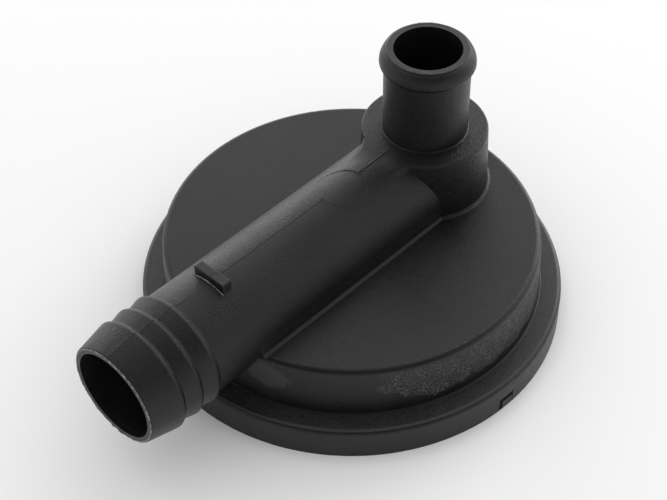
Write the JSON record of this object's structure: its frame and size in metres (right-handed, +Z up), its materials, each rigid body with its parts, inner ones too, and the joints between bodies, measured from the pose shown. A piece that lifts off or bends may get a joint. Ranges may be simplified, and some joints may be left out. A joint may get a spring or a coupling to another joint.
{
  "type": "crankcase breather pressure regulating valve",
  "caption": "Round black plastic diaphragm valve for a crankcase breather line, with a barbed side port and a beaded top port.",
  "frame": {"origin": "on the drum's axis, level with the lower edge of the skirt and the underside of the cover", "axes": "+Z up along the drum's axis and the top port; -X along the side port, out of its mouth"},
  "size_m": [0.1105, 0.09, 0.0539],
  "materials": {
    "housing_plastic": "glass-filled plastic moulding, satin with a fine grain",
    "cover_plastic": "plastic moulding, satin",
    "diaphragm_rubber": "moulded rubber, matt",
    "plate_plastic": "unpigmented plastic moulding",
    "spring_steel": "drawn spring wire"
  },
  "bodies": {
    "housing": {"upper_housing": "housing_plastic", "bottom_cover": "cover_plastic", "diaphragm": "diaphragm_rubber", "pressure_spring": "spring_steel"},
    "valve_plate": {"support_plate": "plate_plastic"}
  },
  "joints": [
    {"name": "valve_lift", "type": "slide", "parent": "housing", "child": "valve_plate", "axis": [0, 0, 1], "range_m": [0, 0.0037], "stiffness_N_per_m": 500, "springref_m": -0.008, "deforming": ["pressure_spring", "diaphragm"]}
  ]
}
